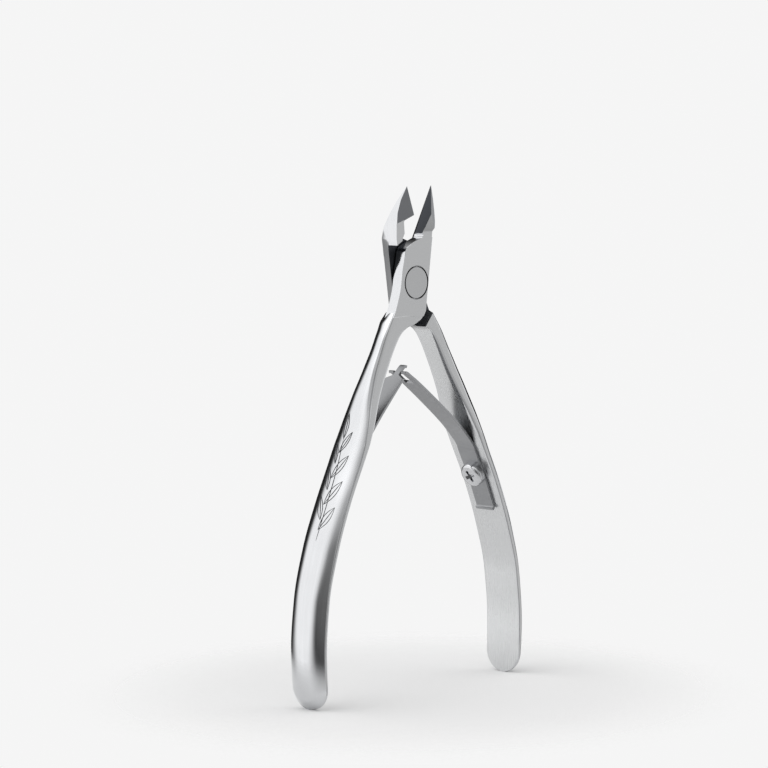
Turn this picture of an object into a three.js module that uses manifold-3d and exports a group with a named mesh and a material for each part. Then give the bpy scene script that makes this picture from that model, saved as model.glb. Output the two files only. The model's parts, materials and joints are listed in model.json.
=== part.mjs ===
// Cuticle nipper: two crossing steel levers on a flush lap joint, held open by
// a pair of leaf springs that hook into each other between the handles.
//
// Frame: millimetres, +Z from the handle ends to the jaw tips, +X to the right,
// -Y towards the viewer of the bevelled side. The origin is on the ground plane,
// midway between the two handle ends, so the tool stands on its handle ends.
import * as THREE from 'three';
import { mergeVertices } from 'three/addons/utils/BufferGeometryUtils.js';
import Module from 'manifold-3d';

const wasm = await Module();
wasm.setup();

// ---------------------------------------------------------------- dimensions
const PIVOT_HEIGHT = 97.2;        // pivot axis above the handle ends
const GAP = 0.3;                  // clearance between neighbouring pieces

// lap joint
const JOINT_HALF = 2.95;          // half of the joint's total thickness
const LAP_FACE = GAP / 2;         // each lap plate stops this far from the middle plane

// pivot pin, a flush countersunk rivet seen as a disc in both faces
const PIN_HEAD_RADIUS = 3.65;
const PIN_HEAD_DEPTH = 1.1;
const PIN_SHANK_RADIUS = 2.1;

// handles
const HANDLE_TILT_REACH = 36;     // below the pivot, where the handles reach full width
const HANDLE_HALF_WIDTH = 5.6;
const HANDLE_END_HALF_WIDTH = 5.35;
const HANDLE_EDGE = 1.0;          // flat side land under the domed back
const HANDLE_DOME = 2.4;          // rise of the domed back above that land
const HANDLE_SPARE = 0.4;         // extra half width, trimmed off by the side outline
const FAR = 60;                   // longer than any cut needs to reach

// jaws, relative to the pivot axis
const JAW_TIP = new THREE.Vector3(4.06, -3.94, 22.76);
const JAW_HEEL = new THREE.Vector3(2.91, -5.11, 16.04);
const JAW_CORNER = new THREE.Vector3(6.41, -2.93, 14.08);
const JAW_SHOULDER_RADIUS = 10.9; // concentric wall that clears the other lap plate
const NOTCH_HEIGHT = 11.1;        // relief notch at the heel of each jaw
const NOTCH_RADIUS = 0.45;

// handle shoulder: the concave wall at the top of each handle
const SHOULDER_CENTRE = { x: -3.6, z: -4.2 };
const SHOULDER_RADIUS = 9.5;

// leaf springs and their screws
const LEAF_THICKNESS = 0.7;
const LEAF_WIDTH = 5.6;
const FOOT_TOP = -40;             // the leaf leaves the handle here, below the pivot
const FOOT_BOTTOM = -55.5;
const TONGUE_WIDTH = 1.6;
const TONGUE_START = { x: -4.4, z: -22.4 }; // the left leaf is narrow beyond this corner
const SLOT_WIDTH = 2.8;
const SLOT_START = 0.8;           // the right leaf is forked to the left of this
const SCREW_DEPTH_BELOW = 48;     // screw centre below the pivot
const SCREW_HEAD_RADIUS = 2.75;
const SCREW_HEAD_HEIGHT = 1.7;
const SCREW_HEAD_CROWN = [[0, 0.5], [0.25, 1.0], [0.9, 1.4], [1.8, 1.65]]; // [in from rim, up]
const RECESS = { length: 2.6, width: 0.6, depth: 0.7 };
const SCREW_SHANK_RADIUS = 1.0;
const SCREW_LENGTH = 2.0;

// ---------------------------------------------------------------- solid tools
function solidOf(geometry) {
  const bare = geometry.index ? geometry.toNonIndexed() : geometry.clone();
  bare.deleteAttribute('normal');
  bare.deleteAttribute('uv');
  const merged = mergeVertices(bare, 1e-4);
  const mesh = new wasm.Mesh({
    numProp: 3,
    vertProperties: new Float32Array(merged.attributes.position.array),
    triVerts: new Uint32Array(merged.index.array),
  });
  mesh.merge();
  return new wasm.Manifold(mesh);
}

function geometryOf(solid) {
  const mesh = solid.getMesh();
  const geometry = new THREE.BufferGeometry();
  geometry.setAttribute('position', new THREE.BufferAttribute(mesh.vertProperties, 3));
  geometry.setIndex(new THREE.BufferAttribute(mesh.triVerts, 1));
  geometry.computeVertexNormals();
  return geometry;
}

const joinAll = (solids) => solids.reduce((sum, next) => sum.add(next));

// A front-view outline, given as [x, z] points or a Shape, from yLow to yHigh.
function frontExtrusion(outline, yLow, yHigh, curveSegments = 10) {
  const shape = Array.isArray(outline)
    ? new THREE.Shape(outline.map(([x, z]) => new THREE.Vector2(x, z)))
    : outline;
  const geometry = new THREE.ExtrudeGeometry(shape, {
    depth: yHigh - yLow, bevelEnabled: false, curveSegments,
  });
  geometry.rotateX(Math.PI / 2);
  geometry.translate(0, yHigh, 0);
  return solidOf(geometry);
}

// A side-view outline in [y, z], extruded across xLow to xHigh.
function sideExtrusion(outline, xLow, xHigh) {
  const shape = Array.isArray(outline)
    ? new THREE.Shape(outline.map(([y, z]) => new THREE.Vector2(y, z)))
    : outline;
  const geometry = new THREE.ExtrudeGeometry(shape, {
    depth: xHigh - xLow, bevelEnabled: false, curveSegments: 10,
  });
  const toSide = new THREE.Matrix4().makeBasis(
    new THREE.Vector3(0, 1, 0), new THREE.Vector3(0, 0, 1), new THREE.Vector3(1, 0, 0),
  );
  geometry.applyMatrix4(toSide);
  geometry.translate(xLow, 0, 0);
  return solidOf(geometry);
}

// A round bar along Y.
function barAlongY(radius, yLow, yHigh, x = 0, z = 0, segments = 48) {
  const geometry = new THREE.CylinderGeometry(radius, radius, yHigh - yLow, segments);
  geometry.translate(x, (yLow + yHigh) / 2, z);
  return solidOf(geometry);
}

// A block whose face passes through three points, on the side that turns away
// from the point "keep": subtracting it planes that side off.
function planeCutter(a, b, c, keep, size = 30) {
  const normal = new THREE.Vector3().crossVectors(
    new THREE.Vector3().subVectors(b, a), new THREE.Vector3().subVectors(c, a),
  ).normalize();
  if (normal.dot(new THREE.Vector3().subVectors(keep, a)) > 0) normal.negate();
  const geometry = new THREE.BoxGeometry(size, size, size);
  geometry.translate(0, 0, size / 2);
  const turn = new THREE.Quaternion().setFromUnitVectors(new THREE.Vector3(0, 0, 1), normal);
  geometry.applyQuaternion(turn);
  const middle = new THREE.Vector3().add(a).add(b).add(c).divideScalar(3);
  geometry.translate(middle.x, middle.y, middle.z);
  return solidOf(geometry);
}

const smooth = (points, count) => new THREE.SplineCurve(
  points.map(([x, z]) => new THREE.Vector2(x, z)),
).getPoints(count).map((p) => [p.x, p.y]);

const flipX = (points) => points.map(([x, z]) => [-x, z]);

// ---------------------------------------------------------------- handles
// Inner face of the left handle, from the crotch to the end, [x, z] below the pivot.
const HANDLE_LINE = [
  [-5.2, -12], [-9.4, -20], [-13.3, -27], [-19.9, -40], [-25.7, -52], [-30.9, -68],
  [-32.8, -84], [-32.3, -98],
];

const handleCurve = new THREE.CatmullRomCurve3(
  HANDLE_LINE.map(([x, z]) => new THREE.Vector3(x, 0, z)),
);

// Point on the left handle's inner face at a height, with its downward direction.
function handleAt(z) {
  let low = 0;
  let high = 1;
  for (let i = 0; i < 40; i += 1) {
    const middle = (low + high) / 2;
    if (handleCurve.getPoint(middle).z > z) low = middle;
    else high = middle;
  }
  const point = handleCurve.getPoint(low);
  const tangent = handleCurve.getTangent(low);
  return { x: point.x, z: point.z, tx: tangent.x, tz: tangent.z };
}

// D-shaped section: flat inner face at 0, land at both sides, domed back.
function handleSection() {
  const half = HANDLE_HALF_WIDTH + HANDLE_SPARE;
  const radius = (half * half + HANDLE_DOME * HANDLE_DOME) / (2 * HANDLE_DOME);
  const centre = HANDLE_EDGE + HANDLE_DOME - radius;
  const reach = Math.asin(half / radius);
  const shape = new THREE.Shape();
  shape.moveTo(half, 0);
  shape.lineTo(half, HANDLE_EDGE);
  const steps = 12;
  for (let i = 1; i <= steps; i += 1) {
    const angle = reach - (2 * reach * i) / steps;
    shape.lineTo(radius * Math.sin(angle), centre + radius * Math.cos(angle));
  }
  shape.lineTo(-half, 0);
  shape.closePath();
  return shape;
}

// How wide the lever is at each height, as a side-view outline in [y, z].
function widthProfile() {
  const j = JOINT_HALF;
  const w = HANDLE_HALF_WIDTH;
  const e = HANDLE_END_HALF_WIDTH;
  const bottom = -PIVOT_HEIGHT;
  const right = smooth([
    [j, -8], [j + 0.1, -18], [3.8, -24], [4.9, -30], [w, -HANDLE_TILT_REACH - 4],
    [w, -52], [e, -68], [e, bottom + e],
  ], 32);
  const shape = new THREE.Shape();
  shape.moveTo(-right[0][0], right[0][1]);
  shape.lineTo(right[0][0], right[0][1]);
  right.slice(1).forEach(([y, z]) => shape.lineTo(y, z));
  shape.absarc(0, bottom + e, e, 0, -Math.PI, true);
  right.slice(1).reverse().forEach(([y, z]) => shape.lineTo(-y, z));
  shape.closePath();
  return shape;
}

// Squarer bar that carries the handle into the joint, on the left side.
const ROOT_OUTER = [
  [-6.96, -6.07], [-8.15, -8.33], [-9.51, -10.59], [-11.9, -15], [-15.2, -21.6],
  [-18.4, -28], [-21.4, -34.5],
];

function leftHandle() {
  const dome = solidOf(new THREE.ExtrudeGeometry(handleSection(), {
    steps: 44, bevelEnabled: false, extrudePath: handleCurve,
  }));
  const inner = smooth([[-3.2, -10.5], [-5.2, -12], [-9.4, -20], [-13.3, -27], [-18, -36]], 14);
  const root = frontExtrusion([...ROOT_OUTER, ...inner.reverse()], -JOINT_HALF, JOINT_HALF);
  // the root's outer back corner is ground off, from one joint face to the other
  const slant = planeCutter(
    new THREE.Vector3(-12.1, -JOINT_HALF, -15), new THREE.Vector3(-9.5, JOINT_HALF, -15),
    new THREE.Vector3(-19.9, JOINT_HALF, -34), new THREE.Vector3(-9, 0, -15), FAR,
  );
  const both = dome.add(root.subtract(slant));
  const shaped = both.intersect(sideExtrusion(widthProfile(), -45, 0));
  const shoulder = barAlongY(
    SHOULDER_RADIUS, -LAP_FACE, 8, -SHOULDER_CENTRE.x, SHOULDER_CENTRE.z, 72,
  );
  return shaped.subtract(shoulder);
}

// ---------------------------------------------------------------- lap plate
// Front plate in front view: from the left handle up to the right jaw.
const PLATE_OUTLINE = [
  [-11.9, -15], [-9.51, -10.59], [-8.15, -8.33], [-6.96, -6.07], [-6.1, -3.78],
  [-5.4, -1.5], [-5.05, 0.4], [-4.65, 3.2], [-4.1, 5.5], [-3.75, 7.4], [-3.2, 8.35],
  [-1.8, 9.1], [-0.4, 9.7], [1.6, 10.4], [3.0, 11.4], [5.7, 11.4], [5.35, 9.75],
  [4.8, 5.1], [4.1, 0], [3.35, -4.3], [3.0, -6.6], [2.5, -8.0], [1.45, -8.95],
  [-0.6, -9.85], [-3.2, -10.5], [-5.2, -12], [-6.9, -15],
];

function frontPlate() {
  return frontExtrusion(PLATE_OUTLINE, -JOINT_HALF, -LAP_FACE);
}

// ---------------------------------------------------------------- jaws
// side = 1 for the right jaw and -1 for the left one.
function jaw(side) {
  const at = (v) => new THREE.Vector3(side * v.x, v.y, v.z);
  const tip = at(JAW_TIP);
  const heel = at(JAW_HEEL);
  const corner = at(JAW_CORNER);
  const front = [
    [JAW_TIP.x, JAW_TIP.z], [JAW_HEEL.x, JAW_HEEL.z], [2.2, 12.2], [2.0, 10.2], [1.2, 8],
    [4.5, 5.2], [5.0, 7.5], [5.45, 9.75], [JAW_CORNER.x, JAW_CORNER.z], [6.2, 16.5],
    [5.4, 19.6],
  ];
  const outline = side > 0 ? front : flipX(front);
  const profile = [
    [JAW_TIP.y, JAW_TIP.z], [JAW_HEEL.y, JAW_HEEL.z], [-3.8, 13.2], [-JOINT_HALF, 11.9],
    [-JOINT_HALF, 5], [JOINT_HALF, 5], [JOINT_HALF, 10.4],
  ];
  const block = frontExtrusion(outline, -6, 4)
    .intersect(sideExtrusion(profile, -10, 10));
  // bevel on the outer front, and the relief that leaves a narrow inner land
  const bevel = planeCutter(tip, heel, corner, at(new THREE.Vector3(4.2, 0, 14)));
  const relief = planeCutter(
    at(new THREE.Vector3(4.1, -3.7, 22.6)), at(new THREE.Vector3(2.2, -0.8, 12.2)),
    at(new THREE.Vector3(4.0, 1.2, 12.2)), at(new THREE.Vector3(4.6, -1.2, 13)),
  );
  const notch = barAlongY(NOTCH_RADIUS, -6, 4, side * 2.0, NOTCH_HEIGHT, 16);
  // the half of the jaw on the far lap stands clear of the other plate
  const yLow = side > 0 ? -LAP_FACE : -8;
  const yHigh = side > 0 ? 8 : LAP_FACE;
  const shoulder = barAlongY(JAW_SHOULDER_RADIUS, yLow, yHigh, 0, 0, 96);
  let shaped = block.subtract(bevel).subtract(relief).subtract(notch).subtract(shoulder);
  if (side < 0) {
    // the back lever's jaw is relieved below its heel, in front
    const pocket = frontExtrusion(
      [[-3.75, 8], [-3.75, 13.6], [-4.0, 14.3], [-2.95, 15.8], [0, 15.8], [0, 8]], -8, 0.2,
    );
    shaped = shaped.subtract(pocket);
  }
  return shaped;
}

// ---------------------------------------------------------------- levers
const turnAbout = new THREE.Matrix4().makeRotationZ(Math.PI);

function turned(solid) {
  const geometry = geometryOf(solid);
  geometry.applyMatrix4(turnAbout);
  return solidOf(geometry);
}

// Blind hole for a spring screw in the handle's inner face.
function screwHole(side) {
  const depth = SCREW_LENGTH + GAP;
  const geometry = new THREE.CylinderGeometry(
    SCREW_SHANK_RADIUS + GAP, SCREW_SHANK_RADIUS + GAP, 2 * depth, 24,
  );
  return solidOf(placeOnFace(geometry, handleAt(-SCREW_DEPTH_BELOW), side));
}

// Moves a piece whose axis is +Y onto the handle's inner face: its origin goes to
// the face, and +Y points away from the handle, into the space between the handles.
function placeOnFace(geometry, place, side) {
  const inward = new THREE.Vector3(-place.tz, 0, place.tx).normalize();
  const basis = new THREE.Matrix4().makeBasis(
    new THREE.Vector3(place.tx, 0, place.tz).normalize(),
    inward,
    new THREE.Vector3(place.tx, 0, place.tz).normalize().cross(inward),
  );
  geometry.applyMatrix4(basis);
  geometry.translate(place.x, 0, place.z);
  if (side > 0) geometry.applyMatrix4(turnAbout);
  return geometry;
}

function pinBore() {
  const head = barAlongY(PIN_HEAD_RADIUS + GAP, -5, -JOINT_HALF + PIN_HEAD_DEPTH + GAP, 0, 0, 64);
  const shank = barAlongY(PIN_SHANK_RADIUS + GAP, -5, 5, 0, 0, 48);
  return head.add(shank).add(turned(head));
}

function frontLever() {
  return joinAll([leftHandle(), frontPlate(), jaw(1)])
    .subtract(pinBore())
    .subtract(screwHole(-1));
}

function backLever() {
  return joinAll([turned(leftHandle().add(frontPlate())), jaw(-1)])
    .subtract(pinBore())
    .subtract(screwHole(1));
}

// ---------------------------------------------------------------- pivot pin
function pivotPin() {
  const neck = JOINT_HALF - PIN_HEAD_DEPTH;
  const profile = [
    [0, -JOINT_HALF], [PIN_HEAD_RADIUS, -JOINT_HALF], [PIN_HEAD_RADIUS, -neck],
    [PIN_SHANK_RADIUS, -neck], [PIN_SHANK_RADIUS, neck], [PIN_HEAD_RADIUS, neck],
    [PIN_HEAD_RADIUS, JOINT_HALF], [0, JOINT_HALF],
  ].map(([r, y]) => new THREE.Vector2(r, y));
  return solidOf(new THREE.LatheGeometry(profile, 56));
}

// ---------------------------------------------------------------- leaf springs
// Centre line of the left leaf where it lies along the handle's inner face.
function footLine(zFrom, zTo, steps) {
  const off = GAP + LEAF_THICKNESS / 2;
  return Array.from({ length: steps + 1 }, (_, i) => {
    const place = handleAt(zFrom + ((zTo - zFrom) * i) / steps);
    const length = Math.hypot(place.tx, place.tz);
    return [place.x - (place.tz / length) * off, place.z + (place.tx / length) * off];
  });
}

// A ribbon of constant thickness about a front-view centre line.
function ribbon(line, thickness, halfWidth) {
  const sides = [1, -1].map((sign) => line.map(([x, z], i) => {
    const [ax, az] = line[Math.max(i - 1, 0)];
    const [bx, bz] = line[Math.min(i + 1, line.length - 1)];
    const length = Math.hypot(bx - ax, bz - az);
    const half = (sign * thickness) / 2;
    return [x - ((bz - az) / length) * half, z + ((bx - ax) / length) * half];
  }));
  return frontExtrusion([...sides[0], ...sides[1].reverse()], -halfWidth, halfWidth);
}

function leafFoot(side) {
  const strip = ribbon(footLine(FOOT_TOP - GAP, FOOT_BOTTOM, 8), LEAF_THICKNESS, LEAF_WIDTH / 2);
  const place = handleAt(-SCREW_DEPTH_BELOW);
  const hole = solidOf(placeOnFace(
    new THREE.CylinderGeometry(SCREW_SHANK_RADIUS + GAP, SCREW_SHANK_RADIUS + GAP, 8, 24),
    place, -1,
  ));
  const foot = strip.subtract(hole);
  return side > 0 ? turned(foot) : foot;
}

// Centre line of each blade above its foot, [x, z]. They cross at the hook.
const LEFT_BLADE = [[-15.9, -35.3], [-8.4, -26.7], [-3.1, -20.9], [-1.4, -19.5]];
const RIGHT_BLADE = [[15.8, -35.4], [6.9, -28.0], [-1.9, -21.9], [-3.9, -21.0]];

// Blade of one leaf, from the handle up to the hook. The right blade ends in a
// fork and the left blade in a tongue that runs in it.
function leafBlade(side) {
  const [startX, startZ] = footLine(FOOT_TOP, FOOT_TOP, 1)[0];
  const line = smooth(
    side > 0 ? [[-startX, startZ], ...RIGHT_BLADE] : [[startX, startZ], ...LEFT_BLADE], 14,
  );
  const strip = ribbon(line, LEAF_THICKNESS, LEAF_WIDTH / 2);
  const reach = 15;
  if (side > 0) {
    const slot = [
      [SLOT_START, -reach], [SLOT_START, -2 * reach], [-reach, -2 * reach], [-reach, -reach],
    ];
    return strip.subtract(frontExtrusion(slot, -SLOT_WIDTH / 2, SLOT_WIDTH / 2));
  }
  const { x, z } = TONGUE_START;
  const beside = [[x, z], [x, z + reach], [x + reach, z + reach], [x + reach, z]];
  return strip
    .subtract(frontExtrusion(beside, TONGUE_WIDTH / 2, LEAF_WIDTH))
    .subtract(frontExtrusion(beside, -LEAF_WIDTH, -TONGUE_WIDTH / 2));
}

// ---------------------------------------------------------------- spring screws
function springScrew(side) {
  const seat = GAP + LEAF_THICKNESS + GAP;
  const profile = [
    [0, -SCREW_LENGTH], [SCREW_SHANK_RADIUS, -SCREW_LENGTH], [SCREW_SHANK_RADIUS, seat],
    [SCREW_HEAD_RADIUS, seat],
    ...SCREW_HEAD_CROWN.map(([inset, up]) => [SCREW_HEAD_RADIUS - inset, seat + up]),
    [0, seat + SCREW_HEAD_HEIGHT],
  ].map(([r, y]) => new THREE.Vector2(r, y));
  const body = solidOf(new THREE.LatheGeometry(profile, 32));
  const arm = new THREE.BoxGeometry(RECESS.length, 2 * RECESS.depth, RECESS.width);
  arm.translate(0, seat + SCREW_HEAD_HEIGHT, 0);
  const crossArm = arm.clone().rotateY(Math.PI / 2);
  const recess = solidOf(arm).add(solidOf(crossArm));
  const place = handleAt(-SCREW_DEPTH_BELOW);
  return solidOf(placeOnFace(geometryOf(body.subtract(recess)), place, side));
}

// ---------------------------------------------------------------- assembly
const polishedSteel = { color: 0xb9babb, metalness: 1, roughness: 0.18 };
const springSteel = { color: 0x9a9b9c, metalness: 1, roughness: 0.32 };
const screwSteel = { color: 0xc4c5c6, metalness: 1, roughness: 0.22 };

const nipper = new THREE.Group();
nipper.position.z = PIVOT_HEIGHT;

function place(name, solid, finish) {
  const mesh = new THREE.Mesh(geometryOf(solid), new THREE.MeshStandardMaterial(finish));
  mesh.name = name;
  nipper.add(mesh);
}

place('front_lever', frontLever(), polishedSteel);
place('back_lever', backLever(), polishedSteel);
place('pivot_pin', pivotPin(), polishedSteel);
[['left', -1], ['right', 1]].forEach(([name, side]) => {
  place(`${name}_spring_foot`, leafFoot(side), springSteel);
  place(`${name}_spring_blade`, leafBlade(side), springSteel);
  place(`${name}_spring_screw`, springScrew(side), screwSteel);
});

const assembly = new THREE.Group();
assembly.add(nipper);
export default assembly;
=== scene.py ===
# %% [markdown]
# # A cuticle nipper in polished steel
# The tool is two steel forgings that cross in a flush lap joint, turn on one ground pivot,
# and are pushed apart by two leaf springs hooked into each other between the handles.
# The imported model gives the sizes, the pivot and the moving bodies. This script makes the
# fine surfaces around it, piece by piece, and then the steel each surface is finished in.

# %% Load the fixed frame
import json
import math

import bpy
from mathutils import Matrix, Vector


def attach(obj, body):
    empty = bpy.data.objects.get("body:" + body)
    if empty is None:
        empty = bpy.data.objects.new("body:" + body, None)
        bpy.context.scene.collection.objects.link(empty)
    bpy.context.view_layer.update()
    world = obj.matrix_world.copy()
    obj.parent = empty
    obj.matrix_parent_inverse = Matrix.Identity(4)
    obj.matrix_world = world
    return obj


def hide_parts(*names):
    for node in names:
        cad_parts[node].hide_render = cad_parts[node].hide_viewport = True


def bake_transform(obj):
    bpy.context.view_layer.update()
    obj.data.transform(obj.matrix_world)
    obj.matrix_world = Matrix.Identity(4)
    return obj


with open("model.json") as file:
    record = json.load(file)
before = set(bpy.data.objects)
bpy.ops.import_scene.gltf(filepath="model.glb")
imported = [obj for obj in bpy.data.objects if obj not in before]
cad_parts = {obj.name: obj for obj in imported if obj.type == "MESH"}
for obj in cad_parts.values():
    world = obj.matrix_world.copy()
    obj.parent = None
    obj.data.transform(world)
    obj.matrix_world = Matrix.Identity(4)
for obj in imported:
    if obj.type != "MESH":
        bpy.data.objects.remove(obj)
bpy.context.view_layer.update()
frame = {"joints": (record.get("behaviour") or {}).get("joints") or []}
joints = {joint["name"]: joint for joint in frame["joints"]}
PIVOT = Vector(joints["pivot"]["pos_m"])
MM = 0.001
print("pivot at", [round(value, 4) for value in PIVOT])

# %% [markdown]
# ## Working at the bench: millimetres about the pivot
# The frame is in metres, and most of the parts are a few tenths of a millimetre across, which
# is close to the tolerance of some mesh operators. So each piece is made large, with one unit
# to the millimetre and the pivot axis at the origin: +X to the right, +Z to the tips, and
# the bevelled front towards -Y. One last step shrinks it and puts it in its place.

# %% Helpers: selecting, cleaning, and putting a finished piece in its place
MERGE = 0.0005           # points closer than this are one point
EDGE_SLACK = 0.01        # how far a point may lie from the plane it is looked for on


def deselect():
    if bpy.context.object and bpy.context.object.mode != "OBJECT":
        bpy.ops.object.mode_set(mode="OBJECT")
    bpy.ops.object.select_all(action="DESELECT")


def select_only(piece):
    deselect()
    piece.select_set(True)
    bpy.context.view_layer.objects.active = piece


def to_frame(piece):
    """From millimetres about the pivot to metres in the frame."""
    piece.data.transform(Matrix.Translation(PIVOT) @ Matrix.Scale(MM, 4))
    piece.data.update()
    return piece


def edit_all(piece):
    """Opens a piece in edit mode, all of it selected."""
    select_only(piece)
    bpy.ops.object.mode_set(mode="EDIT")
    bpy.ops.mesh.select_all(action="SELECT")


def edit_chosen(piece, kind, chosen):
    """Opens a piece in edit mode with the edges or faces selected that chosen picks."""
    edit_all(piece)
    bpy.ops.mesh.select_mode(type=kind)
    bpy.ops.mesh.select_all(action="DESELECT")
    bpy.ops.object.mode_set(mode="OBJECT")
    for element in piece.data.edges if kind == "EDGE" else piece.data.polygons:
        element.select = chosen(element)
    bpy.ops.object.mode_set(mode="EDIT")


def clean_mesh(piece):
    """Merges points that lie on each other and turns every face outward."""
    edit_all(piece)
    bpy.ops.mesh.remove_doubles(threshold=MERGE)
    bpy.ops.mesh.normals_make_consistent(inside=False)
    bpy.ops.object.mode_set(mode="OBJECT")


deselect()
print("working scale: 1 unit =", MM, "m")

# %% [markdown]
# ## Two ways to start a solid
# A plate or a block is an outline pulled out to a thickness. It starts as a filled circle with
# one corner for each point of the outline, and one extrude gives it depth.
# A handle is a bar whose section changes all the way down. It starts as a cylinder one step
# long whose end cap is extruded once for each station, and a formula then gives every ring
# its place. Both stay closed, so the boolean tools can join and cut them cleanly.

# %% Helpers: prism and drawn bar
def prism(name, outline, low, high, across="Y"):
    """An outline in [x, z] pulled out along Y, or one in [y, z] pulled out along X."""
    deselect()
    bpy.ops.mesh.primitive_circle_add(vertices=len(outline), radius=1, fill_type="NGON")
    piece = bpy.context.object
    piece.name = name
    for vertex, (first, z) in zip(piece.data.vertices, outline):
        vertex.co = (first, low, z) if across == "Y" else (low, first, z)
    pull = (0, high - low, 0) if across == "Y" else (high - low, 0, 0)
    edit_all(piece)
    bpy.ops.mesh.extrude_region_move(TRANSFORM_OT_translate={"value": pull})
    bpy.ops.mesh.select_all(action="SELECT")
    bpy.ops.mesh.normals_make_consistent(inside=False)
    bpy.ops.object.mode_set(mode="OBJECT")
    return piece


def drawn_bar(name, stations, around, place):
    """A closed bar; place(station, k) gives the k-th of around points of each station's ring."""
    deselect()
    bpy.ops.mesh.primitive_cylinder_add(
        vertices=around, radius=1, depth=1, location=(0, 0, 0.5), end_fill_type="NGON")
    piece = bpy.context.object
    piece.name = name
    bpy.ops.object.transform_apply(location=True, rotation=False, scale=False)
    edit_chosen(piece, "FACE", lambda face: face.normal.z > 0.5)   # the top cap
    for _ in stations[2:]:
        bpy.ops.mesh.extrude_region_move(TRANSFORM_OT_translate={"value": (0, 0, 1)})
    bpy.ops.object.mode_set(mode="OBJECT")
    for vertex in piece.data.vertices:
        turn = math.atan2(vertex.co.y, vertex.co.x) % math.tau
        corner = round(turn / math.tau * around) % around
        vertex.co = place(stations[round(vertex.co.z)], corner)
    clean_mesh(piece)
    return piece


print("helpers for a prism and a drawn bar are ready")

# %% [markdown]
# ## Cutting, joining and finishing
# A ground facet is a plane cut: the bisect tool slices the solid and fills the cut, as a
# grinding wheel leaves a flat. Joints and bores are boolean cuts with a second solid.
# Real ground edges are never perfectly sharp, so prism rims get a bevel of about a tenth of a
# millimetre before they are joined. Weighted normals keep the big flats looking flat.

# %% Helpers: grind, boolean, bevel, smooth
def grind(piece, point, normal):
    """Cuts away what lies beyond a plane, on the side that its normal points to."""
    edit_all(piece)
    bpy.ops.mesh.bisect(
        plane_co=point, plane_no=normal, use_fill=True, clear_outer=True, threshold=0.0001)
    bpy.ops.object.mode_set(mode="OBJECT")
    return piece


def grind_through(piece, a, b, c, keep):
    """Grinds a flat through three points and keeps the side with the point keep."""
    normal = (Vector(b) - Vector(a)).cross(Vector(c) - Vector(a)).normalized()
    if normal.dot(Vector(keep) - Vector(a)) > 0:
        normal.negate()
    return grind(piece, a, normal)


def combine(piece, operation, *tools):
    """Joins to or cuts from a piece, one tool solid after another, and uses the tools up.
    The solver leaves an empty material slot, so the slots are cleared at the end."""
    for tool in tools:
        modifier = piece.modifiers.new(operation, "BOOLEAN")
        modifier.operation = operation
        modifier.solver = "MANIFOLD"
        modifier.object = tool
        select_only(piece)
        bpy.ops.object.modifier_apply(modifier=modifier.name)
        bpy.data.objects.remove(tool)
    piece.data.materials.clear()
    return piece


def bevel_rim(piece, width, chosen, segments=2):
    """Bevels the edges for which chosen(end, end) is true."""
    points = piece.data.vertices
    edit_chosen(piece, "EDGE", lambda edge: chosen(*(points[i].co for i in edge.vertices)))
    bpy.ops.mesh.bevel(offset=width, segments=segments, affect="EDGES", clamp_overlap=True)
    bpy.ops.object.mode_set(mode="OBJECT")
    return piece


def half_turn(piece):
    """The back lever is the front one turned half a turn about the tool's length."""
    piece.data.transform(Matrix.Rotation(math.pi, 4, "Z"))
    return piece


def finish_surface(piece, angle=32):
    """Merges leftovers, smooths the shading up to an angle, and weights it to the big faces."""
    clean_mesh(piece)
    bpy.ops.object.shade_smooth_by_angle(angle=math.radians(angle))
    modifier = piece.modifiers.new("flats", "WEIGHTED_NORMAL")
    modifier.keep_sharp = True
    bpy.ops.object.modifier_apply(modifier=modifier.name)
    return piece


print("helpers for grinding, joining and finishing are ready")

# %% [markdown]
# ## The camera
# The tool is seen from its front left, a little above the pivot, through a long lens from
# about eight tenths of a metre, so its sides stay nearly parallel.

# %% Camera
VIEW_TURN = math.radians(45.5)
VIEW_RISE = math.radians(5.5)
VIEW_ROLL = math.radians(-0.43)
VIEW_DISTANCE = 780 * MM
VIEW_OFFSET = (5.54 * MM, 23.98 * MM)
LENS = 155.4
SENSOR = 36


def make_camera():
    """Aims at the pivot from VIEW_TURN and VIEW_RISE, then shifts and rolls the picture."""
    forward = Vector((math.sin(VIEW_TURN) * math.cos(VIEW_RISE),
                      math.cos(VIEW_TURN) * math.cos(VIEW_RISE), -math.sin(VIEW_RISE)))
    level = Vector((math.cos(VIEW_TURN), -math.sin(VIEW_TURN), 0))
    above = level.cross(forward)
    right = level * math.cos(VIEW_ROLL) + above * math.sin(VIEW_ROLL)
    up = above * math.cos(VIEW_ROLL) - level * math.sin(VIEW_ROLL)
    place = PIVOT - right * VIEW_OFFSET[0] - up * VIEW_OFFSET[1] - forward * VIEW_DISTANCE
    data = bpy.data.cameras.new("camera")
    data.lens = LENS
    data.sensor_width = SENSOR
    camera = bpy.data.objects.new("camera", data)
    bpy.context.scene.collection.objects.link(camera)
    turn = Matrix((right, up, -forward)).transposed().to_4x4()
    camera.matrix_world = Matrix.Translation(place) @ turn
    bpy.context.scene.camera = camera
    return camera


camera = make_camera()
print("camera at", [round(value, 3) for value in camera.location])

# %% [markdown]
# ## The handles' lines
# Each handle leaves the joint as a thick, nearly square bar and turns into a thin, wide strap:
# flat inside, a narrow land at each side, and a domed outside that sits in the palm. A few
# stations down its length say where the inner face is, how thick each side land is, how wide
# the strap is and how much the back is domed. A smooth curve runs between the stations.

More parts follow.
